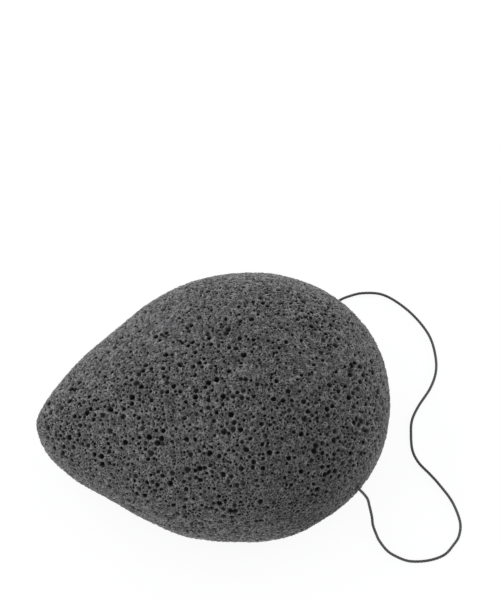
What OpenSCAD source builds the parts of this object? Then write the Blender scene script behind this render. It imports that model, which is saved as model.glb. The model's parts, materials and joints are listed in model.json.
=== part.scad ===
// Drop-shaped konjac sponge: a moulded foam body with a string threaded across its blunt end.
// The tip points along -X, the flat base lies on z = 0 and mid length is over the origin.

/* [Sponge body] */
// Length from the narrow tip to the blunt end
body_length = 96; // [84:1:108]
// Width across the widest place
body_width = 76; // [66:1:86]
// Height of the crown above the base
crown_height = 39; // [32:1:46]
// Height of the widest edge above the base
rim_height = 16; // [13:0.5:19]
// How far the widest place lies from mid length, towards the blunt end
widest_x = 7.5; // [2:0.5:12]
// How far the top of the crown lies from mid length, towards the blunt end
crown_x = 15; // [8:0.5:18]
// How much lower the crown line runs by the time it reaches the tip
crown_drop = 10; // [0:0.5:14]
// How much lower the widest edge runs by the time it reaches the tip
rim_drop = 2; // [0:0.5:5]

/* [Body shape] */
// Half of the width over which the narrow tip stays blunt, as a share
tip_share = 0.23; // [0.1:0.01:0.4]
// How much of the flank is drawn straight before the widest place, as a share
flank_share = 0.43; // [0.3:0.01:0.6]
// The same from the widest place towards the blunt end
shoulder_share = 0.43; // [0.3:0.01:0.6]
// Half of the width over which the blunt end stays upright, as a share
end_share = 0.68; // [0.5:0.01:0.85]
// Size of the flat base as a share of the widest outline
base_share = 0.76; // [0.6:0.01:0.85]
// How full the dome above the widest edge is, where 2 is an ellipse
dome_power = 2.25; // [2:0.05:3]
// How full the side below the widest edge is, where 2 is an ellipse
side_power = 2.6; // [2:0.05:3]
// How late the drop towards the tip sets in, where 1 is a straight slope
drop_power = 1.5; // [1:0.1:2.5]

/* [String] */
// Diameter of the string
cord_d = 0.8; // [0.6:0.05:1.2]
// How far the string's channel lies in from the blunt end
channel_inset = 12.5; // [10:0.5:18]
// How far the string's channel lies below the widest edge
channel_drop = 2.5; // [1:0.5:7]
// Gap all round the string in its channel
channel_clearance = 0.1; // [0.05:0.05:0.3]
// How far the string stands straight out of the wall before it bends
exit_straight = 1; // [0.8:0.1:2]

/* [Knot] */
// Wraps of string round itself in the knot
knot_wraps = 3; // [2:1:5]
// Distance from one wrap to the next
wrap_pitch = 0.7; // [0.5:0.05:0.75]
// Radius from the knot's axis to the middle of a wrap
wrap_radius = 0.75; // [0.6:0.05:0.8]
// Straight string at each end of the knot
knot_tail = 0.8; // [0.6:0.1:1.5]
// Gap all round the knot in its pocket
pocket_clearance = 0.2; // [0.1:0.05:0.5]
// How far the knot lies from the middle of the channel, towards the near side
knot_offset = 6; // [0:0.5:10]

/* [Hidden] */

half_length = body_length / 2;
half_width = body_width / 2;
cord_r = cord_d / 2;
channel_r = cord_r + channel_clearance;
// How far a cut runs past the surface that it opens
overrun = 1;
round_sides = 32;

// Steps along each quarter of the outline, and levels above and below the widest edge
quarter_steps = 14;
dome_levels = 10;
side_levels = 6;

// A cubic curve through the first and last of four points
function bezier(p, t) =
    pow(1 - t, 3) * p[0] + 3 * pow(1 - t, 2) * t * p[1]
    + 3 * (1 - t) * t * t * p[2] + pow(t, 3) * p[3];

function curve(p) = [for (i = [0 : quarter_steps - 1]) bezier(p, i / quarter_steps)];

tip = [-half_length, 0];
widest = [widest_x, -half_width];
blunt_end = [half_length, 0];
flank_pull = [flank_share * (widest_x + half_length), 0];
shoulder_pull = [shoulder_share * (half_length - widest_x), 0];

// The near half of the widest outline, from the tip to just before the blunt end
near_half = concat(
    curve([tip, tip - [0, tip_share * half_width], widest - flank_pull, widest]),
    curve([widest, widest + shoulder_pull, blunt_end - [0, end_share * half_width], blunt_end]));

// The whole outline, seen from above, anticlockwise from the tip
outline = concat(
    near_half, [blunt_end],
    [for (i = [len(near_half) - 1 : -1 : 1]) [near_half[i].x, -near_half[i].y]]);

// The outline at a share of its full size, drawn in towards the crown's axis
function drawn_in(share) = [for (p = outline) [crown_x + (p.x - crown_x) * share, p.y * share]];

// How far along a point is from the crown's axis to the tip, and the two lines that drop on the way
function towards_tip(x) = max(0, (crown_x - x) / (crown_x + half_length));
function crown_line(x) = crown_height - crown_drop * pow(towards_tip(x), drop_power);
function rim_line(x) = rim_height - rim_drop * pow(towards_tip(x), drop_power);

// A level is a share of the outline, with how far it has climbed to the rim and on to the crown
function side_level(angle) =
    [base_share + (1 - base_share) * pow(cos(angle), 2 / side_power),
     1 - pow(sin(angle), 2 / side_power), 0];
function dome_level(angle) = [pow(cos(angle), 2 / dome_power), 1, pow(sin(angle), 2 / dome_power)];

levels = concat(
    [for (i = [side_levels : -1 : 1]) side_level(90 * i / side_levels)],
    [for (i = [0 : dome_levels - 1]) dome_level(90 * i / dome_levels)]);

function height_at(x, level) =
    rim_line(x) * level[1] + (crown_line(x) - rim_line(x)) * level[2];

function level_points(level) =
    [for (p = drawn_in(level[0])) [p.x, p.y, height_at(p.x, level)]];

// The foam before its flat base is cut; it reaches a little below the base
module foam_shape() {
    around = len(outline);
    last = len(levels);
    points = concat(
        [for (p = drawn_in(base_share)) [p.x, p.y, -overrun]],
        [for (l = levels) each level_points(l)],
        [[crown_x, 0, crown_height]]);
    faces = concat(
        [[for (j = [0 : around - 1]) j]],
        [for (i = [0 : last - 1], j = [0 : around - 1])
            let (a = i * around + j, b = i * around + (j + 1) % around)
            each [[a, a + around, b + around], [a, b + around, b]]],
        [for (j = [0 : around - 1])
            [last * around + j, (last + 1) * around, last * around + (j + 1) % around]]);
    polyhedron(points, faces);
}

channel_x = half_length - channel_inset;
channel_z = rim_height - channel_drop;

// The wall's outline at the channel's height, which is below the widest edge
channel_climb = channel_z / rim_height;
channel_outline = drawn_in(side_level(asin(pow(1 - channel_climb, side_power / 2)))[0]);

// How far from the middle the wall is where the channel opens, the same on both sides
wall_y = [
    for (i = [1 : len(near_half)])
        let (p = channel_outline[i - 1], q = channel_outline[i])
        if (p.x <= channel_x && channel_x < q.x)
            -(p.y + (q.y - p.y) * (channel_x - p.x) / (q.x - p.x))][0];

far_exit = [channel_x, wall_y + exit_straight, channel_z];
near_exit = [channel_x, -far_exit.y, channel_z];

wraps_half = (knot_wraps - 1) * wrap_pitch / 2 + cord_r;
knot_half = wraps_half + knot_tail;
knot_at = [channel_x, -knot_offset, channel_z];
pocket_r = wrap_radius + cord_r + pocket_clearance;
pocket_half = wraps_half + pocket_clearance;

// Lays an upright shape along the channel, its foot at the point and its head to the far side
module along_channel(at) {
    translate(at) rotate([-90, 0, 0]) children();
}

module sponge_body() {
    color("#4e4d4f")
    difference() {
        foam_shape();
        translate([-body_length, -body_width, -2 * overrun])
            cube([2 * body_length, 2 * body_width, 2 * overrun]);
        along_channel(near_exit - [0, overrun, 0])
            cylinder(h = 2 * (far_exit.y + overrun), r = channel_r, $fn = round_sides);
        along_channel(knot_at - [0, pocket_half, 0])
            cylinder(h = 2 * pocket_half, r = pocket_r, $fn = round_sides);
    }
}

// The string's run through the foam, in two lengths that end at the knot
module threaded_cord() {
    color("#3a393b") {
        along_channel(near_exit)
            cylinder(h = knot_at.y - knot_half - near_exit.y, r = cord_r, $fn = round_sides);
        along_channel(knot_at + [0, knot_half, 0])
            cylinder(h = far_exit.y - knot_at.y - knot_half, r = cord_r, $fn = round_sides);
    }
}

// A barrel knot: wraps side by side round the straight string
module cord_knot() {
    color("#3a393b") {
        along_channel(knot_at - [0, knot_half, 0])
            cylinder(h = 2 * knot_half, r = cord_r, $fn = round_sides);
        for (i = [0 : knot_wraps - 1])
            along_channel(knot_at + [0, (i - (knot_wraps - 1) / 2) * wrap_pitch, 0])
                rotate_extrude($fn = round_sides)
                    translate([wrap_radius, 0]) circle(r = cord_r, $fn = round_sides);
    }
}

// The loop's route from the far mouth to the near one: x from the channel, y and height off the table
loop_route = [
    [0.5, 29.5, 11], [1, 31, 7.5], [2, 33, 4], [3.5, 35, 1], [5.5, 36.5, 0], [8.5, 37.5, 0],
    [12.5, 38, 0], [17.5, 37, 0], [21.5, 34, 0], [25.5, 29, 0], [28.5, 23, 0], [29.5, 17.5, 0],
    [29, 11, 0], [26.5, 5.5, 0], [22, 0, 0], [19.5, -4, 0], [18.5, -8, 0], [18, -13, 0],
    [19, -17, 0], [21.5, -21, 0], [23.5, -24.5, 0], [26, -30, 0], [27, -36, 0], [26, -40, 0],
    [24, -42.5, 0], [21, -45, 0], [16.5, -46, 0], [11.5, -45.5, 0], [8, -43.5, 0], [6, -41.5, 0],
    [4.5, -38.5, 0], [4, -36.5, 0], [3.5, -34, 0.5], [3.5, -32, 1.5], [3, -30, 4.5],
    [2.5, -29.5, 7.5], [1.5, -29, 10]
];
route = concat([far_exit], [for (p = loop_route) p + [channel_x, 0, cord_r]], [near_exit]);
// About how far apart the string's rings are, and how many sides a ring has
ring_spacing = 2.3;
cord_sides = 8;

// A smooth curve from the second of four points to the third
function spline(p, t) =
    (2 * p[1] + (p[2] - p[0]) * t + (2 * p[0] - 5 * p[1] + 4 * p[2] - p[3]) * t * t
     + (3 * p[1] - p[0] - 3 * p[2] + p[3]) * pow(t, 3)) / 2;

// The route with the string's straight run inside the foam added at both ends
guided_route = concat(
    [far_exit - [0, exit_straight, 0]], route, [near_exit + [0, exit_straight, 0]]);

function rings_between(p, q) = max(1, round(norm(q - p) / ring_spacing));

// Never lower than a string that lies on the table
function lying(p) = [p.x, p.y, max(p.z, cord_r)];

centreline = concat(
    [for (i = [0 : len(route) - 2])
        let (steps = rings_between(route[i], route[i + 1]),
             four = [for (k = [0 : 3]) guided_route[i + k]])
        each [for (k = [0 : steps - 1]) lying(spline(four, k / steps))]],
    [near_exit]);

function unit(v) = v / norm(v);

// The string's direction at a ring; it leaves one mouth and enters the other along the channel
function direction(i) =
    i == 0 || i == len(centreline) - 1
    ? unit(far_exit - near_exit)
    : unit(centreline[i + 1] - centreline[i - 1]);

function ring(i) =
    let (ahead = direction(i),
         sideways = unit(cross(ahead, [0, 0, 1])),
         upward = cross(sideways, ahead))
    [for (k = [0 : cord_sides - 1])
        let (a = 360 * (k + 1 / 2) / cord_sides)
        centreline[i] + cord_r * (cos(a) * sideways + sin(a) * upward)];

module hanging_cord() {
    rings = len(centreline);
    points = [for (i = [0 : rings - 1]) each ring(i)];
    faces = concat(
        [[for (k = [cord_sides - 1 : -1 : 0]) k]],
        [for (i = [0 : rings - 2], k = [0 : cord_sides - 1])
            let (a = i * cord_sides + k, b = i * cord_sides + (k + 1) % cord_sides)
            each [[a, b, b + cord_sides], [a, b + cord_sides, a + cord_sides]]],
        [[for (k = [0 : cord_sides - 1]) (rings - 1) * cord_sides + k]]);
    color("#3a393b") polyhedron(points, faces);
}

sponge_body();
hanging_cord();
threaded_cord();
cord_knot();
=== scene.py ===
# %% [markdown]
# # A konjac sponge in Blender
#
# A konjac sponge is a drop of stiff, open-celled foam, moulded from the root of a plant. This one
# is coloured with charcoal, and a thin string runs across its blunt end to hang it up by. This
# lesson dresses its CAD model: it keeps every place and size of the model, and adds what CAD
# leaves out, which is the pores, the fibrous skin, the twist of the string, and light.

# %% Load the frame
import json
import math

import bpy
import numpy as np
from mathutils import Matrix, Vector

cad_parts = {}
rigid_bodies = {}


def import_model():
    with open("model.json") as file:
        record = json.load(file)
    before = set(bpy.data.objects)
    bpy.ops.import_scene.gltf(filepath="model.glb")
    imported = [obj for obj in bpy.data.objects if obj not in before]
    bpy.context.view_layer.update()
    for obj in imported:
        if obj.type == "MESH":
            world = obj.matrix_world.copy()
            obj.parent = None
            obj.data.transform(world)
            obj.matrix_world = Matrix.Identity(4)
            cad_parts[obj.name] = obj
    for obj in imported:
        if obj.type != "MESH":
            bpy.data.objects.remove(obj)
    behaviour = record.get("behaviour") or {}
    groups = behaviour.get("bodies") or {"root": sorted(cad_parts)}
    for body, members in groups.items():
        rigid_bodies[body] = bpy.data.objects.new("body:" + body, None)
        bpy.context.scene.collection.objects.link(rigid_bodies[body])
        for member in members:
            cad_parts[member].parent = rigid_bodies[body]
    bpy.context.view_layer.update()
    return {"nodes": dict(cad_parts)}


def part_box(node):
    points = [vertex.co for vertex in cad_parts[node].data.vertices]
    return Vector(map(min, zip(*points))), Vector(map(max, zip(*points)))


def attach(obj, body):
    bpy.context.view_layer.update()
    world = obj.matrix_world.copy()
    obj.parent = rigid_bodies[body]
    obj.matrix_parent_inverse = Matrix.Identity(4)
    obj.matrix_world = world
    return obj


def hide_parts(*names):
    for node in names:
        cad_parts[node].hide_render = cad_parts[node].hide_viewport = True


for leftover in list(bpy.data.objects):
    bpy.data.objects.remove(leftover)
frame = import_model()
print("nodes:", sorted(frame["nodes"]))

# %% [markdown]
# Blender counts in metres here, and a sponge is easier to think of in millimetres. So every length
# below is written in millimetres and multiplied by MM.
#
# Five small functions take up what comes again and again: a colour in linear light, one more node
# in a tree, an empty tree, a new object in the scene, and a camera or a lamp that faces somewhere.

# %% Units and small helpers
MM = 0.001
MATH, VECTOR_MATH = "ShaderNodeMath", "ShaderNodeVectorMath"
# A map range takes a value, the two ends of its range, and what each end becomes
MAP_RANGE, BSDF = "ShaderNodeMapRange", "ShaderNodeBsdfPrincipled"
# The mean of a noise's colour, which is taken off where the noise pushes points about
NOISE_MEAN = (0.5, 0.5, 0.5)
scene = bpy.context.scene


def linear(hex_colour):
    """An sRGB hex colour as the linear RGBA that Blender's sockets take."""
    parts = [int(hex_colour[i : i + 2], 16) / 255 for i in (1, 3, 5)]
    return [
        c / 12.92 if c <= 0.04045 else ((c + 0.055) / 1.055) ** 2.4 for c in parts
    ] + [1.0]


def add(tree, kind, sockets=(), **settings):
    """Adds a node. sockets gives its inputs, by name or in order, a value, an output or a node."""
    node = tree.nodes.new(kind)
    for name, value in settings.items():
        setattr(node, name, value)
    for key, value in sockets.items() if isinstance(sockets, dict) else enumerate(sockets):
        if isinstance(value, bpy.types.Node):
            value = value.outputs[0]
        if isinstance(value, bpy.types.NodeSocket):
            tree.links.new(value, node.inputs[key])
        else:
            node.inputs[key].default_value = value
    return node


def cleared_tree(owner):
    """The node tree of a material or of the world, with nothing in it yet."""
    owner.use_nodes = True
    owner.node_tree.nodes.clear()
    return owner.node_tree


def put(name, data):
    """A new object in the scene, at the origin."""
    made = bpy.data.objects.new(name, data)
    scene.collection.objects.link(made)
    return made


def aim(thing, place, towards):
    """Puts a camera or a lamp at a place and turns it to face a direction."""
    thing.location = place
    thing.rotation_mode = "QUATERNION"
    thing.rotation_quaternion = towards.to_track_quat("-Z", "Y")


print("pale charcoal in linear light:", [round(c, 3) for c in linear("#58585a")])

# %% [markdown]
# The camera comes first, because everything is judged through it. The sponge is seen from well
# above, with a long lens, so that its sides hardly converge.

# %% Camera
AZIMUTH, ELEVATION = math.radians(-7.9), math.radians(60)
LOOK_AT = Vector((15.9, 40.4, 0)) * MM
DISTANCE = 642 * MM

away = Vector(
    (
        math.sin(AZIMUTH) * math.cos(ELEVATION),
        -math.cos(AZIMUTH) * math.cos(ELEVATION),
        math.sin(ELEVATION),
    )
)
camera = put("camera", bpy.data.cameras.new("camera"))
aim(camera, LOOK_AT + away * DISTANCE, -away)
camera.data.lens, camera.data.sensor_width = 135, 36
camera.data.clip_start, camera.data.clip_end = 0.05, 20
scene.camera = camera
print("camera at", [round(c, 3) for c in camera.location])

# %% [markdown]
# ## Konjac foam
#
# Konjac foam is cast from the boiled root, coloured with charcoal powder and frozen, and the ice
# leaves its bubbles behind. Where the mould cuts them the skin is a web of pale fibres round dark
# holes. Everything about it is matt: light goes in and little comes back. Dry fibres stand up on
# the skin and catch light at its edges, which is what sheen is for.
#
# The holes that are big enough to see singly are sunk into the mesh further down, and painted dark
# inside as well, as painted shade. The tree below reads two things that they leave on it: `pore`,
# which is 0 in the middle of a hole and 1 at its edge, and `shade`, how dark the painted shade in
# that hole is. It also reads `place`, where each point lay before the holes were sunk, so that the
# pattern isn't stretched down into them.

# %% [markdown]
# First come the patterns, without any colour. The strands of the web are the edges of Voronoi
# cells, bent by a noise so that none of them is straight. Fibres run over and between them, and a
# ridged noise is made of just such thin lines. In the middle of most cells lies a bubble that is
# too small to be sunk into the mesh, so it is painted as a dark spot: painted shade for its
# hollow.
# Patches a few cells wide come last, because foam never takes its charcoal evenly.

# %% Foam: patterns
foam = bpy.data.materials.new("konjac_foam")
tree = cleared_tree(foam)

# Konjac foam, cast in a mould, frozen and dried. Patterns are counted in millimetres: the web's
# cells are about 0.7 mm across and the single fibres about as far apart. The other three are how
# long the web's bends are, how far its strong places lie apart, and the patches of charcoal
CELL, FIBRE_GAP, BEND, STRONG, PATCH = 0.7, 0.75, 0.9, 1.3, 1.4
# A bend pushes the web by up to half of this, either way
BEND_PUSH = (0.3, 0.3, 0.3)
place = add(tree, "ShaderNodeAttribute", attribute_name="place").outputs["Vector"]
place = add(tree, VECTOR_MATH, {0: place, "Scale": 1 / MM}, operation="SCALE")
bend = add(tree, "ShaderNodeTexNoise", {"Vector": place, "Scale": 1 / BEND, "Detail": 2.0})
bend = add(tree, VECTOR_MATH, [bend.outputs["Color"], NOISE_MEAN], operation="SUBTRACT")
bent = add(tree, VECTOR_MATH, [bend, BEND_PUSH, place], operation="MULTIPLY_ADD")
walls = add(
    tree, "ShaderNodeTexVoronoi", {"Vector": bent, "Scale": 1 / CELL}, feature="DISTANCE_TO_EDGE"
)
# A strand fades out within a quarter of a cell
web = add(
    tree,
    MAP_RANGE,
    [walls.outputs["Distance"], 0.0, 0.26, 1.0, 0.0],
    interpolation_type="SMOOTHSTEP",
)
# Strands stand out in some places and are lost in others
strong = add(tree, "ShaderNodeTexNoise", {"Vector": place, "Scale": 1 / STRONG, "Detail": 3.0})
strong = add(tree, MAP_RANGE, [strong, 0.38, 0.66, 0.15, 1.3])
web = add(tree, MATH, [web, strong], operation="MULTIPLY")
fibres = add(
    tree,
    "ShaderNodeTexNoise",
    {"Vector": bent, "Scale": 1 / FIBRE_GAP, "Detail": 1.5, "Roughness": 0.6},
    noise_type="RIDGED_MULTIFRACTAL",
)
fibres = add(tree, MAP_RANGE, [fibres, 1.2, 2.4, 0.0, 1.0])
# The same cells once more, for the bubble in the middle of each: none in some, up to 0.6 mm
# across in others. A bubble is painted dark further down, as painted shade for its hollow
centres = add(tree, "ShaderNodeTexVoronoi", {"Vector": bent, "Scale": 1 / CELL}, feature="F1")
centres = centres.outputs
dice = add(tree, "ShaderNodeSeparateColor", [centres["Color"]])
reach = add(tree, MAP_RANGE, [dice, 0.1, 1.0, 0.0, 0.42])
bubbles = add(tree, MATH, [centres["Distance"], reach], operation="SUBTRACT")
bubbles = add(
    tree, MAP_RANGE, [bubbles, -0.07, 0.05, 1.0, 0.0], interpolation_type="SMOOTHSTEP"
)
patches = add(tree, "ShaderNodeTexNoise", {"Vector": place, "Scale": 1 / PATCH, "Detail": 4.0})
patches = add(tree, MAP_RANGE, [patches, 0.36, 0.64, 0.0, 1.0])
print(len(tree.nodes), "nodes of patterns")

# %% [markdown]
# Then the patterns are laid over one another as colour, each with its share and its tint: fibres
# and strands paler than the charcoal, bubbles and pores darker. The dark of bubbles and pores is
# painted shade for their hollows. Fibres, strands and bubbles also make a relief that only bends
# the light. Whatever is big enough to show in the outline is in the mesh.

# %% Foam: colour and relief
pore = add(tree, "ShaderNodeAttribute", attribute_name="pore").outputs["Fac"]
shade = add(tree, "ShaderNodeAttribute", attribute_name="shade").outputs["Fac"]
# The painted shade in a hole is darkest inside 0.8 of its radius and has faded out just past its
# edge. Its pale lip follows, and is gone at one and a half
hole = add(tree, MAP_RANGE, [pore, 0.8, 1.08, 1.0, 0.0], interpolation_type="SMOOTHSTEP")
lip = add(tree, MAP_RANGE, [pore, 1.5, 1.1, 0.0, 1.0], interpolation_type="SMOOTHSTEP")
hole = add(tree, MATH, [hole, shade], operation="MULTIPLY")
# A few fibres are left across the holes
across = add(tree, MATH, [fibres, -0.45, 1.0], operation="MULTIPLY_ADD")
hole = add(tree, MATH, [hole, across], operation="MULTIPLY")

colour = add(
    tree,
    "ShaderNodeMix",
    {0: patches, 6: linear("#252526"), 7: linear("#58585a")},
    data_type="RGBA",
).outputs[2]
# Each layer's share higher up and at the foot. Towards the foot the fibres and strands are painted
# paler and the bubbles darker: painted light and shade for the fibres that stand up at the edge
# there. The foot starts at 14 mm and is at its full below 4 mm
FOOT_STARTS, FOOT_FULL = 14.0, 4.0
foot = add(tree, "ShaderNodeSeparateXYZ", [place]).outputs["Z"]
foot = add(tree, MAP_RANGE, [foot, FOOT_STARTS, FOOT_FULL, 0.0, 1.0])
# The dark tints of the bubbles and the holes are painted shade for their hollows
for amount, share, foot_share, tint in (
    (fibres, 1.0, 1.5, "#dcdbdd"),
    (web, 0.4, 0.8, "#d0cfd1"),
    (bubbles, 0.55, 0.95, "#1c1c1d"),
    (lip, 0.2, 0.2, "#b4b3b5"),
    (hole, 1.0, 1.0, "#1c1c1d"),
):
    share = add(tree, MAP_RANGE, [foot, 0.0, 1.0, share, foot_share])
    amount = add(tree, MATH, [amount, share], operation="MULTIPLY")
    colour = add(
        tree, "ShaderNodeMix", {0: amount, 6: colour, 7: linear(tint)}, data_type="RGBA"
    ).outputs[2]

relief = add(tree, MATH, [fibres, web], operation="ADD")
relief = add(tree, MATH, [relief, bubbles], operation="SUBTRACT")
relief = add(tree, "ShaderNodeBump", {"Height": relief, "Strength": 0.8, "Distance": 0.14 * MM})
surface = add(
    tree,
    BSDF,
    {
        "Base Color": colour,
        "Normal": relief,
        "Roughness": 0.95,
        "Specular IOR Level": 0.2,
        "Sheen Weight": 1.0,
        "Sheen Roughness": 0.33,
    },
)
add(tree, "ShaderNodeOutputMaterial", [surface])
print(foam.name, "has", len(tree.nodes), "nodes")

# %% [markdown]
# ## Twisted string
#
# The string is thin cotton, dyed charcoal and twisted from three plies. Cotton is matt too, and
# its loose fibres give it a soft edge, so it gets the same kind of sheen. The colour follows the
# fibres with a fine noise; the twist itself is shape, and is made with the string.

# %% String material
cotton = bpy.data.materials.new("twisted_cotton_string")
tree = cleared_tree(cotton)

# Dyed cotton, spun and twisted. Its fibres are about 0.02 mm thick; they are drawn 0.2 mm apart,
# as coarse as they need to be to show
FLUFF_GAP = 0.2 * MM
where = add(tree, "ShaderNodeTexCoord").outputs["Object"]
fluff = add(tree, "ShaderNodeTexNoise", {"Vector": where, "Scale": 1 / FLUFF_GAP, "Detail": 2.0})
colour = add(
    tree, "ShaderNodeMix", {0: fluff, 6: linear("#39393a"), 7: linear("#6a6a6c")}, data_type="RGBA"
).outputs[2]
surface = add(
    tree,
    BSDF,
    {
        "Base Color": colour,
        "Roughness": 0.9,
        "Specular IOR Level": 0.3,
        "Sheen Weight": 0.9,
        "Sheen Roughness": 0.5,
    },
)
add(tree, "ShaderNodeOutputMaterial", [surface])
print(cotton.name, "has", len(tree.nodes), "nodes")

# %% [markdown]
# ## Geometry Nodes
#
# Five more helpers are for shapes. One makes lines of points into a mesh, which a tree can turn
# into curves. One starts a tree with named inputs, and one ends it: its instances are made real
# and its material is set. One keeps what an object's modifiers make as a plain mesh, so that no
# modifier is left, and the last does that with a tree.

# %% Helpers for Geometry Nodes
def line_mesh(name, *lines, closed=False):
    """A mesh of nothing but edges, from point to point along each line."""
    mesh = bpy.data.meshes.new(name)
    points, edges = [], []
    for line in lines:
        first = len(points)
        points += line
        edges += [(i, i + 1) for i in range(first, len(points) - 1)]
        if closed:
            edges.append((len(points) - 1, first))
    mesh.from_pydata(points, edges, [])
    return mesh


def start_tree(name, sizes):
    """An empty tree with an input for its geometry, one for each named size, and a material."""
    tree = bpy.data.node_groups.new(name, "GeometryNodeTree")
    for side in ("INPUT", "OUTPUT"):
        tree.interface.new_socket("Geometry", in_out=side, socket_type="NodeSocketGeometry")
    for key, value in sizes.items():
        kind = {int: "Int", float: "Float"}.get(type(value), "Vector")
        socket = tree.interface.new_socket(key, in_out="INPUT", socket_type="NodeSocket" + kind)
        socket.default_value = value
    tree.interface.new_socket("Material", in_out="INPUT", socket_type="NodeSocketMaterial")
    return tree, add(tree, "NodeGroupInput").outputs


def end_tree(tree, given, geometry):
    """Gives out the geometry, with its instances made real and its material set."""
    real = add(tree, "GeometryNodeRealizeInstances", [geometry])
    named = {"Geometry": real, "Material": given["Material"]}
    add(tree, "NodeGroupOutput", [add(tree, "GeometryNodeSetMaterial", named)])


def plain_mesh(host, name):
    """What an object's modifiers make of it, as a mesh without them. The object is removed."""
    depsgraph = bpy.context.evaluated_depsgraph_get()
    made = bpy.data.meshes.new_from_object(
        host.evaluated_get(depsgraph), preserve_all_data_layers=True, depsgraph=depsgraph
    )
    made.name = name
    bpy.data.objects.remove(host)
    return made


def run_tree(name, mesh, tree, sizes, material):
    """The plain mesh that the tree makes of a mesh. Its inputs are set by identifier."""
    host = put(name, mesh)
    modifier = host.modifiers.new("nodes", "NODES")
    modifier.node_group = tree
    values = sizes | {"Material": material}
    for item in tree.interface.items_tree:
        if item.in_out == "INPUT" and item.name in values:
            modifier[item.identifier] = values[item.name]
    made = plain_mesh(host, name)
    print(name + ":", len(made.vertices), "points,", len(made.polygons), "faces")
    return made


# %% [markdown]
# ## The foam body
#
# The drop follows a rule. Seen from above, its outline is four curves. Each level is that outline
# drawn in towards the crown, and lifted by a rounded profile: a side below the widest edge and a
# dome above it. A shape with a rule suits Geometry Nodes: a flat grid is wrapped round the drop,
# with one direction running along the outline and the other from the middle of the base to the
# crown.

# %% Sizes of the body, as in the CAD source
HALF_LENGTH, HALF_WIDTH = 48 * MM, 38 * MM
WIDEST_X = 7.5 * MM
# Where the string's channel runs across, and how high
CHANNEL_X, CHANNEL_Z = 35.5 * MM, 13.5 * MM
# How far the handles of the outline's curves reach, as shares of its lengths and half width
HANDLE_ALONG, HANDLE_TIP, HANDLE_END = 0.43, 0.23, 0.68
BODY_SIZES = {
    "Half length": HALF_LENGTH,
    "Crown place": 15 * MM,
    "Crown height": 39 * MM,
    "Crown drop": 10 * MM,
    "Rim height": 16 * MM,
    "Rim drop": 2 * MM,
    "Drop power": 1.5,
    "Base share": 0.76,
    "Dome power": 2.25,
    "Side power": 2.6,
}


def bezier(p, t):
    """A point on the curve from the first of four points to the last. The others are handles."""
    return (
        (1 - t) ** 3 * p[0]
        + 3 * (1 - t) ** 2 * t * p[1]
        + 3 * (1 - t) * t**2 * p[2]
        + t**3 * p[3]
    )


tip, blunt_end = Vector((-HALF_LENGTH, 0, 0)), Vector((HALF_LENGTH, 0, 0))
widest = Vector((WIDEST_X, -HALF_WIDTH, 0))
flank_pull = Vector((HANDLE_ALONG * (WIDEST_X + HALF_LENGTH), 0, 0))
shoulder_pull = Vector((HANDLE_ALONG * (HALF_LENGTH - WIDEST_X), 0, 0))
tip_pull = Vector((0, HANDLE_TIP * HALF_WIDTH, 0))
end_pull = Vector((0, HANDLE_END * HALF_WIDTH, 0))
QUARTER = 64
near_half = [
    bezier(quarter, i / QUARTER)
    for quarter in (
        [tip, tip - tip_pull, widest - flank_pull, widest],
        [widest, widest + shoulder_pull, blunt_end - end_pull, blunt_end],
    )
    for i in range(QUARTER)
]
far_half = [Vector((p.x, -p.y, 0)) for p in reversed(near_half[1:])]
outline = near_half + [blunt_end] + far_half
print("outline of", len(outline), "points")

# %% [markdown]
# In the body's tree, `lap` runs round the outline and `climb` from 0 to 3: the base from 0 to 1,
# the side from 1 to 2 and the dome from 2 to 3. A clamp holds each part still outside its own
# stretch, so the three can simply be multiplied or added.

# %% The body's tree: how far out and how far up
AROUND, LEVELS = 420, 180
tree, given = start_tree("drop body", BODY_SIZES)
grid = add(
    tree,
    "GeometryNodeMeshGrid",
    {"Size X": 1.0, "Size Y": 1.0, "Vertices X": AROUND + 1, "Vertices Y": LEVELS + 1},
)
flat = add(tree, "ShaderNodeSeparateXYZ", [add(tree, "GeometryNodeInputPosition")]).outputs
lap = add(tree, MATH, [flat["X"], 0.5], operation="ADD")
climb = add(tree, MATH, [flat["Y"], 0.5], operation="ADD")
climb = add(tree, MATH, [climb, 3.0], operation="MULTIPLY")
on_base = add(tree, "ShaderNodeClamp", [climb])

# Each profile is a power of the sine and cosine of an angle that grows from 0 to 90 degrees
profile = {}
for part, start in (("Side", 1.0), ("Dome", 2.0)):
    share = add(tree, "ShaderNodeClamp", [add(tree, MATH, [climb, start], operation="SUBTRACT")])
    angle = add(tree, MATH, [share, math.pi / 2], operation="MULTIPLY")
    power = add(tree, MATH, [2.0, given[part + " power"]], operation="DIVIDE")
    for wave in ("SINE", "COSINE"):
        waved = add(tree, MATH, [angle], operation=wave)
        profile[part, wave] = add(tree, MATH, [waved, power], operation="POWER")

rest = add(tree, MATH, [1.0, given["Base share"]], operation="SUBTRACT")
share = profile["Side", "SINE"]
share = add(tree, MATH, [rest, share, given["Base share"]], operation="MULTIPLY_ADD")
share = add(tree, MATH, [share, profile["Dome", "COSINE"]], operation="MULTIPLY")
share = add(tree, MATH, [share, on_base], operation="MULTIPLY")
side_up = add(tree, MATH, [1.0, profile["Side", "COSINE"]], operation="SUBTRACT")
dome_up = profile["Dome", "SINE"]
print(len(tree.nodes), "nodes so far")

# %% [markdown]
# The outline comes in as a curve. Sampling it gives the widest place on each lap, which is drawn
# in towards the crown by the share. The rim and the crown sink a little towards the tip, and that
# fixes the height.

# %% The body's tree: place and height
crown_place = given["Crown place"]
curve = add(tree, "GeometryNodeMeshToCurve", {"Mesh": given["Geometry"]})
around = add(tree, "GeometryNodeSampleCurve", {"Curves": curve, "Factor": lap}, mode="FACTOR")
edge = add(tree, "ShaderNodeSeparateXYZ", [around.outputs["Position"]]).outputs
reach = add(tree, MATH, [edge["X"], crown_place], operation="SUBTRACT")
x = add(tree, MATH, [reach, share, crown_place], operation="MULTIPLY_ADD")
y = add(tree, MATH, [edge["Y"], share], operation="MULTIPLY")

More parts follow.
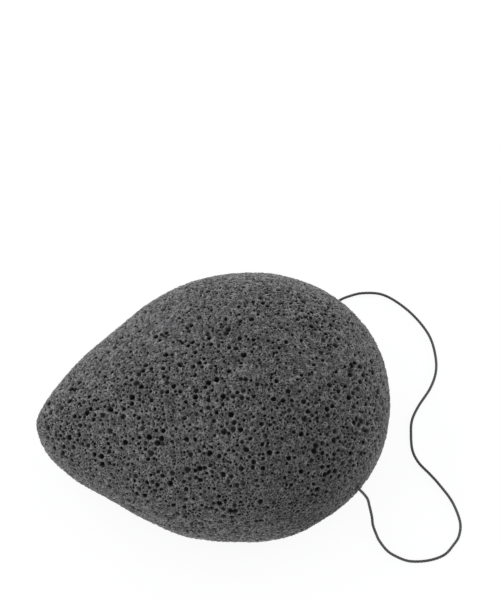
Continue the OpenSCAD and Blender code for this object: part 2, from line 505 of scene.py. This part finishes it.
behind = add(tree, MATH, [crown_place, x], operation="SUBTRACT")
behind = add(tree, MATH, [behind, 0.0], operation="MAXIMUM")
whole = add(tree, MATH, [crown_place, given["Half length"]], operation="ADD")
behind = add(tree, MATH, [behind, whole], operation="DIVIDE")
behind = add(tree, MATH, [behind, given["Drop power"]], operation="POWER")
rim = add(tree, MATH, [given["Rim drop"], behind], operation="MULTIPLY")
rim = add(tree, MATH, [given["Rim height"], rim], operation="SUBTRACT")
crown = add(tree, MATH, [given["Crown drop"], behind], operation="MULTIPLY")
crown = add(tree, MATH, [given["Crown height"], crown], operation="SUBTRACT")
dome = add(tree, MATH, [crown, rim], operation="SUBTRACT")
z = add(tree, MATH, [dome, dome_up], operation="MULTIPLY")
z = add(tree, MATH, [rim, side_up, z], operation="MULTIPLY_ADD")

xyz = add(tree, "ShaderNodeCombineXYZ", [x, y, z])
wrapped = add(tree, "GeometryNodeSetPosition", {"Geometry": grid, "Position": xyz})
closed = add(tree, "GeometryNodeMergeByDistance", {"Geometry": wrapped, "Distance": 1e-6})
end_tree(tree, given, closed)
smooth_body = run_tree(
    "smooth body", line_mesh("outline", outline, closed=True), tree, BODY_SIZES, foam
)

# %% [markdown]
# The wrapped grid is dense at the tip and the crown and coarse elsewhere. Pores need points evenly
# spread over the whole skin, so the body is remeshed by voxels.

SKIN_STEP = 0.26 * MM
host = put("skin host", smooth_body)
remesh = host.modifiers.new("even", "REMESH")
remesh.mode = "VOXEL"
remesh.voxel_size = SKIN_STEP
remesh.use_smooth_shade = True
skin = plain_mesh(host, "skin")
print("even skin:", len(skin.vertices), "points")

# %% [markdown]
# A picture of the skin may be painted from this model, and for that the skin needs laying flat. It
# is cut round its widest edge into a dome and a base. Each half is opened out from its middle: a
# point's distance from the middle grows with its height too, or the steep sides would be squashed.

# %% Laying the skin flat
# How much a point's height adds to its distance, the gap left at the picture's edges, and where
# the dome ends and the base begins
SPREAD, MARGIN, DOME_END, BASE_START = 0.8, 0.005, 0.52, 0.53
co = np.empty(len(skin.vertices) * 3)
skin.vertices.foreach_get("co", co)
co = co.reshape(-1, 3)
corner = np.empty(len(skin.loops), int)
skin.loops.foreach_get("vertex_index", corner)
face_size = np.empty(len(skin.polygons), int)
skin.polygons.foreach_get("loop_total", face_size)
face_of_corner = np.repeat(np.arange(len(face_size)), face_size)
face_height = np.bincount(face_of_corner, co[corner, 2]) / face_size
upper = (face_height > BODY_SIZES["Rim height"])[face_of_corner]

from_middle = co[corner, :2] - (BODY_SIZES["Crown place"], 0)
# Never quite nought, because something is divided by it
across = np.hypot(*from_middle.T) + 1e-9
climbed = np.where(upper, BODY_SIZES["Crown height"] - co[corner, 2], co[corner, 2])
opened = from_middle * (1 + SPREAD * climbed / across)[:, None]
uv = np.empty_like(opened)
for half, low, high in ((upper, MARGIN, DOME_END), (~upper, BASE_START, 1 - MARGIN)):
    least, most = opened[half].min(axis=0), opened[half].max(axis=0)
    size = (1 - 2 * MARGIN, high - low)
    uv[half] = (opened[half] - least) / (most - least) * size + (MARGIN, low)
skin.uv_layers.new(name="OFBake").data.foreach_set("uv", uv.ravel())
print("corners on the dome and on the base:", upper.sum(), (~upper).sum())

# %% [markdown]
# ## Pores
#
# Foam is bubbles cut open at its skin. The big ones are up to 1.8 mm across and look black,
# because hardly any light comes back out of them. They could be painted alone, but then the
# outline would stay smooth and the sponge would look printed. So they are sunk into the mesh, and
# painted
# dark inside as well, as painted shade: points are scattered on the skin, each is the middle of
# one pore, and every point of the skin asks for its nearest pore and sinks if it lies inside.
# Three sizes are scattered one after another.

# %% Sizes of the pores
# Each kind: least distance apart in mm, pores in a square mm where they crowd, the share of them
# on the far side, smallest and largest radius in mm, and depth as a share of the radius
PORES = {
    "Large": (1.25, 0.35, 0.35, 0.48, 0.9, 1.6),
    "Medium": (0.7, 0.95, 0.9, 0.3, 0.53, 1.6),
    "Small": (0.45, 2.2, 1.0, 0.2, 0.36, 1.4),
}
skin_sizes = {"Seed": 11}
for kind, (apart, density, far_share, least, most, depth) in PORES.items():
    skin_sizes |= {
        kind + " apart": apart * MM,
        kind + " density": density / MM**2,
        kind + " far share": far_share,
        kind + " least radius": least * MM,
        kind + " most radius": most * MM,
        kind + " depth": depth,
    }
skin_sizes |= {
    # The foam that is left between two pores of different kinds
    "Wall": 0.12 * MM,
    "Half width": HALF_WIDTH,
    "Half length": HALF_LENGTH,
    "Crowd size": 12.0 * MM,
    # Which part of the noise the sponge lies in, and so where its pores crowd
    "Crowd shift": Vector((55, 95, 70)) * MM,
    # Each noise by the length of its waves, and by how far it pushes
    "Wobble size": 0.9 * MM,
    "Wobble": 0.5 * MM,
    "Lump size": 9.0 * MM,
    "Lump": 0.35 * MM,
    "Grain size": 0.7 * MM,
    "Grain": 1.0 * MM,
    # How far the lip round a pore stands up, and how far the whole skin is drawn in
    "Lip": 0.06 * MM,
    "Drawn in": 0.03 * MM,
    # The string's mouths, and the dimple round each
    "Mouth place": CHANNEL_X,
    "Mouth side": 27.6 * MM,
    "Mouth height": CHANNEL_Z,
    "Mouth radius": 0.65 * MM,
    "Mouth depth": 1.6 * MM,
    "Dimple radius": 3.5 * MM,
    "Dimple": 0.15 * MM,
}

# A moulded sponge dries a little out of true. Each swelling or hollow by its place, radius and
# height in mm
DENTS = {
    "tip": ((-47.5, -2, 12), 8, -0.75),
    "near flank": ((-31, -20, 7), 12, -0.5),
    "foot": ((-12, -31, 6), 11, 0.7),
    "near side": ((3, -36, 5.5), 6, -0.35),
    "heel": ((17, -35.5, 5.5), 10, 0.3),
    "near shoulder": ((31, -30, 6.5), 9, -0.1),
    "far flank": ((-24, 24, 21), 16, -0.5),
    "far side": ((9, 36, 25), 18, -0.6),
    "blunt end": ((46, 9.5, 21.5), 10, 0.15),
}
for name, (place, radius, height) in DENTS.items():
    skin_sizes |= {
        name + " place": Vector(place) * MM,
        name + " radius": radius * MM,
        name + " height": height * MM,
    }
print(len(skin_sizes), "sizes")

# %% [markdown]
# A perfect circle never grows in foam. So the skin's points don't measure their distance to a pore
# from where they are, but from a place that a noise has pushed a little. Another noise, with
# bigger waves, makes the pores crowd in some places and thin out in others. They crowd at the tip
# too. And bubbles rise while the foam sets, so there are more large ones on the near side, which
# was on top.

# %% The pores' tree: noises
tree, given = start_tree("pores", skin_sizes)
position = add(tree, "GeometryNodeInputPosition").outputs[0]
noises = {}
shifted = add(tree, VECTOR_MATH, [position, given["Crowd shift"]], operation="ADD")
for name, at, detail in (
    ("Crowd", shifted, 2.0),
    ("Wobble", position, 1.0),
    ("Lump", position, 2.0),
    ("Grain", position, 3.0),
):
    scale = add(tree, MATH, [1.0, given[name + " size"]], operation="DIVIDE")
    noises[name] = add(
        tree, "ShaderNodeTexNoise", {"Vector": at, "Scale": scale, "Detail": detail}
    ).outputs
pushed = add(tree, VECTOR_MATH, [noises["Wobble"]["Color"], NOISE_MEAN], operation="SUBTRACT")
pushed = add(tree, VECTOR_MATH, {0: pushed, "Scale": given["Wobble"]}, operation="SCALE")
pushed = add(tree, VECTOR_MATH, [position, pushed], operation="ADD")
# About a third of the pores are left where they thin out, and all of them where they crowd
crowding = add(tree, MAP_RANGE, [noises["Crowd"]["Fac"], 0.38, 0.62, 0.35, 1.0])
split = add(tree, "ShaderNodeSeparateXYZ", [position]).outputs
width_place = add(tree, MATH, [split["Y"], given["Half width"]], operation="DIVIDE")
length_place = add(tree, MATH, [split["X"], given["Half length"]], operation="DIVIDE")
at_tip = add(tree, MAP_RANGE, [length_place, -0.8, -0.3, 1.0, 0.0])
crowding = add(tree, MATH, [crowding, at_tip], operation="MAXIMUM")
print("noises:", ", ".join(noises))

# %% [markdown]
# Bubbles share walls and hardly ever run into each other, so a pore shrinks until a wall is left
# between it and the nearest one of each bigger kind. Its final radius is kept on its point.
#
# Each kind gives a `reach`, the distance to the nearest pore's middle counted in that pore's
# radius. Inside 1 the skin sinks, steeply at the edge and flat at the bottom. The least reach of
# all kinds is kept for the material, which draws the edge of each hole by it. A value that changes
# evenly over the edge gives a sharper line between the mesh's points than a value that jumps.

# %% The pores' tree: holes
# Added to the seed for the two throws of dice of each pore
SIZE_THROW, SHADE_THROW = 50, 80
# A power that leaves few pores large, and two that make each flat at the bottom and steep at its
# edge. A pore that has no room is left, but too small to show
FEW_LARGE, FLAT_BOTTOM, STEEP_EDGE = 1.5, 3.0, 0.6
NO_ROOM = 0.01 * MM
pore, shade, sunk, lip = 2.0, 0.0, 0.0, 0.0
kept_radius = add(tree, "GeometryNodeInputNamedAttribute", ["radius"], data_type="FLOAT")
bigger = []
for number, kind in enumerate(PORES):
    # All of a kind's pores are there on the near side, and its share of them on the far side
    crowd = add(tree, MAP_RANGE, [width_place, -0.8, 0.8, 1.0, given[kind + " far share"]])
    crowd = add(tree, MATH, [crowd, crowding], operation="MULTIPLY")
    scattered = add(
        tree,
        "GeometryNodeDistributePointsOnFaces",
        {
            "Mesh": given["Geometry"],
            "Distance Min": given[kind + " apart"],
            "Density Max": given[kind + " density"],
            "Density Factor": crowd,
            "Seed": add(tree, MATH, [given["Seed"], number], operation="ADD"),
        },
        distribute_method="POISSON",
    )
    dice = []
    for throw in (SIZE_THROW, SHADE_THROW):
        seed = add(tree, MATH, [given["Seed"], throw + number], operation="ADD")
        sockets = {2: 0.0, 3: 1.0, "Seed": seed}
        thrown = add(tree, "FunctionNodeRandomValue", sockets, data_type="FLOAT")
        dice.append(thrown.outputs[1])
    least, most = given[kind + " least radius"], given[kind + " most radius"]
    span = add(tree, MATH, [most, least], operation="SUBTRACT")
    size = add(tree, MATH, [dice[0], FEW_LARGE], operation="POWER")
    size = add(tree, MATH, [span, size, least], operation="MULTIPLY_ADD")
    for points in bigger:
        near = add(tree, "GeometryNodeSampleNearest", [points])
        its_middle, its_radius = [
            add(
                tree,
                "GeometryNodeSampleIndex",
                {"Geometry": points, "Value": value, "Index": near},
                data_type=data_type,
            )
            for value, data_type in ((position, "FLOAT_VECTOR"), (kept_radius, "FLOAT"))
        ]
        room = add(tree, VECTOR_MATH, [position, its_middle], operation="DISTANCE")
        room = add(tree, MATH, [room.outputs["Value"], its_radius], operation="SUBTRACT")
        room = add(tree, MATH, [room, given["Wall"]], operation="SUBTRACT")
        size = add(tree, MATH, [size, room], operation="MINIMUM")
    size = add(tree, MATH, [size, NO_ROOM], operation="MAXIMUM")
    scattered = add(
        tree,
        "GeometryNodeStoreNamedAttribute",
        {"Geometry": scattered, "Name": "radius", "Value": size},
        data_type="FLOAT",
        domain="POINT",
    )
    bigger.append(scattered)
    # What the skin asks of its nearest pore. The painted shade inside two in five is black, and in
    # the others dark grey
    nearest = add(
        tree, "GeometryNodeSampleNearest", {"Geometry": scattered, "Sample Position": pushed}
    )
    middle, radius, own_shade = [
        add(
            tree,
            "GeometryNodeSampleIndex",
            {"Geometry": scattered, "Value": value, "Index": nearest},
            data_type=data_type,
        )
        for value, data_type in (
            (position, "FLOAT_VECTOR"),
            (kept_radius, "FLOAT"),
            (add(tree, MAP_RANGE, [dice[1], 0.0, 0.6, 0.55, 1.0]), "FLOAT"),
        )
    ]
    apart = add(tree, VECTOR_MATH, [pushed, middle], operation="DISTANCE").outputs["Value"]
    reach = add(tree, MATH, [apart, radius], operation="DIVIDE")
    bowl = add(tree, MATH, [reach, 1.0], operation="MINIMUM")
    bowl = add(tree, MATH, [bowl, FLAT_BOTTOM], operation="POWER")
    bowl = add(tree, MATH, [1.0, bowl], operation="SUBTRACT")
    bowl = add(tree, MATH, [bowl, STEEP_EDGE], operation="POWER")
    deep = add(tree, MATH, [radius, given[kind + " depth"]], operation="MULTIPLY")
    deep = add(tree, MATH, [deep, bowl], operation="MULTIPLY")
    sunk = add(tree, MATH, [sunk, deep], operation="MAXIMUM")
    raised = add(
        tree, MAP_RANGE, [reach, 1.5, 1.05, 0.0, 1.0], interpolation_type="SMOOTHSTEP"
    )
    lip = add(tree, MATH, [lip, raised], operation="MAXIMUM")
    closer = add(tree, MATH, [reach, pore], operation="LESS_THAN")
    shade = add(tree, "ShaderNodeMix", {0: closer, 2: shade, 3: own_shade}, data_type="FLOAT")
    pore = add(tree, MATH, [pore, reach], operation="MINIMUM")
print(len(tree.nodes), "nodes so far")

# %% [markdown]
# The string goes in and out through two mouths, one on each side of the blunt end. There the foam
# is pulled in a little, and the mouth itself is one more hole. Both sides are the same, so the
# tree measures from the mouth with the side's sign taken off.

# %% The pores' tree: mouths
side = add(tree, MATH, [split["Y"]], operation="ABSOLUTE")
mirrored = add(tree, "ShaderNodeCombineXYZ", [split["X"], side, split["Z"]])
mouth = add(
    tree,
    "ShaderNodeCombineXYZ",
    [given["Mouth place"], given["Mouth side"], given["Mouth height"]],
)
apart = add(tree, VECTOR_MATH, [mirrored, mouth], operation="DISTANCE").outputs["Value"]
reach = add(tree, MATH, [apart, given["Mouth radius"]], operation="DIVIDE")
at_mouth = add(tree, MAP_RANGE, [reach, 0.7, 1.1, 1.0, 0.0], interpolation_type="SMOOTHSTEP")
deep = add(tree, MATH, [at_mouth, given["Mouth depth"]], operation="MULTIPLY")
sunk = add(tree, MATH, [sunk, deep], operation="MAXIMUM")
# The mouth gets the full painted shade of a hole
shade = add(tree, MATH, [shade, at_mouth], operation="MAXIMUM")
pore = add(tree, MATH, [pore, reach], operation="MINIMUM")
pulled = add(tree, MATH, [apart, given["Dimple radius"]], operation="DIVIDE")
pulled = add(
    tree, MAP_RANGE, [pulled, 0.0, 1.0, 1.0, 0.0], interpolation_type="SMOOTHERSTEP"
)
dimple = add(tree, MATH, [pulled, given["Dimple"]], operation="MULTIPLY")
print(len(tree.nodes), "nodes so far")

# %% [markdown]
# Last, the skin is moved along its normal: up for the lips round the pores, the lumps and the
# grain, and down for the holes and the dimples. The swellings and hollows of this one sponge are
# added in the same way. Nothing may hang below the table.

# %% The pores' tree: moving the skin
push = add(tree, MATH, [lip, given["Lip"]], operation="MULTIPLY")
push = add(tree, MATH, [push, given["Drawn in"]], operation="SUBTRACT")
for name in ("Lump", "Grain"):
    swell = add(tree, MATH, [noises[name]["Fac"], 0.5], operation="SUBTRACT")
    push = add(tree, MATH, [swell, given[name], push], operation="MULTIPLY_ADD")
for name in DENTS:
    apart = add(tree, VECTOR_MATH, [position, given[name + " place"]], operation="DISTANCE")
    apart = add(tree, MATH, [apart.outputs["Value"], given[name + " radius"]], operation="DIVIDE")
    near = add(
        tree, MAP_RANGE, [apart, 0.0, 1.0, 1.0, 0.0], interpolation_type="SMOOTHERSTEP"
    )
    push = add(tree, MATH, [near, given[name + " height"], push], operation="MULTIPLY_ADD")
for hollow in (sunk, dimple):
    push = add(tree, MATH, [push, hollow], operation="SUBTRACT")
normal = add(tree, "GeometryNodeInputNormal")
moved = add(tree, VECTOR_MATH, {0: normal, "Scale": push}, operation="SCALE")
moved = add(tree, VECTOR_MATH, [position, moved], operation="ADD")
split = add(tree, "ShaderNodeSeparateXYZ", [moved]).outputs
height = add(tree, MATH, [split["Z"], 0.0], operation="MAXIMUM")
moved = add(tree, "ShaderNodeCombineXYZ", [split["X"], split["Y"], height])

geometry = given["Geometry"]
for name, value, data_type in (
    ("pore", pore, "FLOAT"),
    ("shade", shade, "FLOAT"),
    ("place", position, "FLOAT_VECTOR"),
):
    geometry = add(
        tree,
        "GeometryNodeStoreNamedAttribute",
        {"Geometry": geometry, "Name": name, "Value": value},
        data_type=data_type,
        domain="POINT",
    )
shaped = add(tree, "GeometryNodeSetPosition", {"Geometry": geometry, "Position": moved})
end_tree(tree, given, shaped)
foam_mesh = run_tree("sponge_foam", skin, tree, skin_sizes, foam)
reaches = np.empty(len(foam_mesh.vertices), np.float32)
foam_mesh.attributes["pore"].data.foreach_get("value", reaches)
print("share of the skin that lies in pores:", (reaches < 1).mean().round(3))

# %% [markdown]
# The sponge is foam right through. It stands in for the plain CAD body, and rides on the part's
# only body.

# %% The sponge
sponge = put("sponge_foam", foam_mesh)
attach(sponge, "root")
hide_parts("sponge_body")
print("sponge measures", [round(d / MM, 1) for d in sponge.dimensions], "mm")

# %% [markdown]
# ## The string
#
# The string leaves the foam at one mouth, lies loosely on the table, and goes in at the other. Its
# route is the same list of points as in the CAD source: x from the channel, y, and height off the
# table. A smooth curve is drawn through them.

# %% The string's route
CORD_D = 0.8 * MM
CORD_R = CORD_D / 2
mouth_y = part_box("threaded_cord")[1].y
far_exit = Vector((CHANNEL_X, mouth_y, CHANNEL_Z))
near_exit = Vector((CHANNEL_X, -mouth_y, CHANNEL_Z))

LOOP_ROUTE = [
    (0.5, 29.5, 11), (1, 31, 7.5), (2, 33, 4), (3.5, 35, 1), (5.5, 36.5, 0), (8.5, 37.5, 0),
    (12.5, 38, 0), (17.5, 37, 0), (21.5, 34, 0), (25.5, 29, 0), (28.5, 23, 0), (29.5, 17.5, 0),
    (29, 11, 0), (26.5, 5.5, 0), (22, 0, 0), (19.5, -4, 0), (18.5, -8, 0), (18, -13, 0),
    (19, -17, 0), (21.5, -21, 0), (23.5, -24.5, 0), (26, -30, 0), (27, -36, 0), (26, -40, 0),
    (24, -42.5, 0), (21, -45, 0), (16.5, -46, 0), (11.5, -45.5, 0), (8, -43.5, 0), (6, -41.5, 0),
    (4.5, -38.5, 0), (4, -36.5, 0), (3.5, -34, 0.5), (3.5, -32, 1.5), (3, -30, 4.5),
    (2.5, -29.5, 7.5), (1.5, -29, 10),
]
route = [far_exit]
route += [Vector(p) * MM + Vector((CHANNEL_X, 0, CORD_R)) for p in LOOP_ROUTE]
route += [near_exit]


def spline(p, t):
    """A smooth curve from the second of four points to the third."""
    return (
        2 * p[1]
        + (p[2] - p[0]) * t
        + (2 * p[0] - 5 * p[1] + 4 * p[2] - p[3]) * t**2
        + (3 * p[1] - p[0] - 3 * p[2] + p[3]) * t**3
    ) / 2


# Inside the foam the string runs straight on from both mouths
STRAIGHT = Vector((0, 1 * MM, 0))
guided = [far_exit - STRAIGHT] + route + [near_exit + STRAIGHT]
STEPS = 16
path = [
    spline(guided[i : i + 4], k / STEPS) for i in range(len(route) - 1) for k in range(STEPS)
] + [near_exit]
for p in path:
    p.z = max(p.z, CORD_R)

# %% [markdown]
# Three plies twist round each other, and that too is a rule: the string's cross-section is a ring
# with three grooves, and it turns as it goes along. The tree draws the ring along a curve whose
# tilt grows with the length.

# %% The string's tree
# How many plies there are, and a power that makes them fuller the smaller it is
PLIES, FULLNESS = 3, 0.7
STRING_SIZES = {
    "Radius": CORD_R,
    "Groove": 0.22,
    "Turn length": 2.6 * MM,
    "Step": 0.25 * MM,
    "Sides": 24,
}
tree, given = start_tree("twisted string", STRING_SIZES)
line = add(tree, "GeometryNodeMeshToCurve", {"Mesh": given["Geometry"]})
line = add(
    tree, "GeometryNodeResampleCurve", {"Curve": line, "Length": given["Step"]}, mode="LENGTH"
)
along = add(tree, "GeometryNodeSplineParameter").outputs["Length"]
turns = add(tree, MATH, [along, given["Turn length"]], operation="DIVIDE")
tilt = add(tree, MATH, [turns, 2 * math.pi], operation="MULTIPLY")
line = add(tree, "GeometryNodeSetCurveTilt", {"Curve": line, "Tilt": tilt})

ring = add(
    tree,
    "GeometryNodeCurvePrimitiveCircle",
    {"Resolution": given["Sides"], "Radius": given["Radius"]},
    mode="RADIUS",
)
spot = add(tree, "GeometryNodeInputPosition")
split = add(tree, "ShaderNodeSeparateXYZ", [spot]).outputs
# Half a wave of the cosine, with its sign taken off, is one ply
ply = add(tree, MATH, [split["Y"], split["X"]], operation="ARCTAN2")
ply = add(tree, MATH, [ply, PLIES / 2], operation="MULTIPLY")
ply = add(tree, MATH, [ply], operation="COSINE")
ply = add(tree, MATH, [ply], operation="ABSOLUTE")
ply = add(tree, MATH, [ply, FULLNESS], operation="POWER")
groove = add(tree, MATH, [1.0, ply], operation="SUBTRACT")
groove = add(tree, MATH, [groove, given["Groove"]], operation="MULTIPLY")
kept = add(tree, MATH, [1.0, groove], operation="SUBTRACT")
spot = add(tree, VECTOR_MATH, {0: spot, "Scale": kept}, operation="SCALE")
ring = add(tree, "GeometryNodeSetPosition", {"Geometry": ring, "Position": spot})
tube = add(
    tree, "GeometryNodeCurveToMesh", {"Curve": line, "Profile Curve": ring, "Fill Caps": True}
)
end_tree(tree, given, add(tree, "GeometryNodeSetShadeSmooth", {"Geometry": tube}))
print("the string's tree has", len(tree.nodes), "nodes")

# %% [markdown]
# The loose loop is fixed to the part's body like the rest. Inside the foam the string is held
# fast.
# It runs from both mouths to the knot, which stays the CAD's own.

# %% The loop, the string inside and the knot
def string_piece(name, *lines):
    """A length of the string along each line, as one object that is fixed to the part's body."""
    made = put(name, run_tree(name, line_mesh(name, *lines), tree, STRING_SIZES, cotton))
    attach(made, "root")
    return made


loop = string_piece("string_loop", path)
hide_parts("hanging_cord")

near_face, far_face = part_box("cord_knot")
inside = string_piece(
    "string_inside",
    [far_exit, Vector((CHANNEL_X, far_face.y, CHANNEL_Z))],
    [near_exit, Vector((CHANNEL_X, near_face.y, CHANNEL_Z))],
)
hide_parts("threaded_cord")
knot = frame["nodes"]["cord_knot"]
knot.data.materials.clear()
knot.data.materials.append(cotton)
print("the knot lies", round((far_exit.y - far_face.y) / MM, 1), "mm in from the far mouth")

# %% [markdown]
# ## Floor and light
#
# The sponge lies on a white table. The floor takes its shadow like paper, and adds a glow of its
# own only to the rays that come from the camera or from a mirror or glass. So it looks white
# without lighting the sponge any more than paper would.

# %% The floor
# How far the floor reaches in metres. It lies a hair under the sponge, so that they don't touch
FAR = 3.0
JUST_UNDER = -0.02 * MM
GLOW = 0.91


def seen_directly(tree):
    """1 for rays that come from the camera, a mirror or glass, and 0 for all others."""
    rays = add(tree, "ShaderNodeLightPath").outputs
    seen = add(tree, MATH, [rays["Is Camera Ray"], rays["Is Glossy Ray"]], operation="MAXIMUM")
    return add(tree, MATH, [seen, rays["Is Transmission Ray"]], operation="MAXIMUM")


paper = bpy.data.materials.new("white_paper")
tree = cleared_tree(paper)
# Uncoated paper, even and matt. It is drawn greyer than paper is, because its glow adds the rest
matt = add(tree, "ShaderNodeBsdfDiffuse", {"Color": linear("#6d6e72")})
glow = add(tree, MATH, [seen_directly(tree), GLOW], operation="MULTIPLY")
glow = add(tree, "ShaderNodeEmission", {"Strength": glow})
add(tree, "ShaderNodeOutputMaterial", [add(tree, "ShaderNodeAddShader", [matt, glow])])

floor_mesh = bpy.data.meshes.new("floor")
corners = [(x, y, JUST_UNDER) for x, y in ((-FAR, -FAR), (FAR, -FAR), (FAR, FAR), (-FAR, FAR))]
floor_mesh.from_pydata(corners, [], [(0, 1, 2, 3)])
floor_mesh.materials.append(paper)
floor = put("floor", floor_mesh)
print("floor", round(2 * FAR), "m wide")

# %% [markdown]
# A light tent gives light from everywhere, as a white studio does. It is stronger near the horizon
# than overhead, and gets stronger from the near right to the far left, so that the flanks stay as
# light as the crown. The camera, mirrors and glass see plain white in its place. Three large soft
# lamps outside the view shape the foam: one far and one near on the left, and one on the right.

# %% The light
# The tent's strength at the horizon and overhead, and what it is multiplied by on either side
HORIZON, OVERHEAD = 1.02, 0.51
NEAR_RIGHT, FAR_LEFT = 0.55, 1.2
TO_FAR_LEFT = (-0.5, 0.87, 0)
WHITE = linear("#ffffff")
world = bpy.data.worlds.new("light tent")
scene.world = world
tree = cleared_tree(world)
direction = add(tree, "ShaderNodeTexCoord").outputs["Generated"]
height = add(tree, "ShaderNodeSeparateXYZ", [direction]).outputs["Z"]
level = add(tree, MAP_RANGE, [height, 0.0, 0.9, HORIZON, OVERHEAD])
side = add(tree, VECTOR_MATH, [direction, TO_FAR_LEFT], operation="DOT_PRODUCT")
side = add(tree, MAP_RANGE, [side.outputs["Value"], -1.0, 1.0, NEAR_RIGHT, FAR_LEFT])
level = add(tree, MATH, [level, side], operation="MULTIPLY")
tent = add(tree, "ShaderNodeBackground", {"Color": WHITE, "Strength": level})
white = add(tree, "ShaderNodeBackground", {"Color": WHITE, "Strength": 1.0})
backdrop = add(tree, "ShaderNodeMixShader", [seen_directly(tree), tent, white])
add(tree, "ShaderNodeOutputWorld", [backdrop])

# Each lamp: its place in metres, how wide it is in metres, and its power in watts. All of them
# shine at the middle of the table
LAMPS = {
    "far left": ((-0.65, 0.75, 0.25), 0.7, 2.5),
    "near left": ((-0.97, -0.3, 0.11), 0.4, 4.2),
    "right": ((0.9, 0.4, 0.1), 0.5, 4.4),
}
for name, (place, size, watts) in LAMPS.items():
    light = bpy.data.lights.new(name, "AREA")
    light.shape, light.size, light.energy = "DISK", size, watts
    aim(put(name, light), Vector(place), -Vector(place))
scene.view_settings.view_transform = "Standard"
print("lamps:", ", ".join(LAMPS))
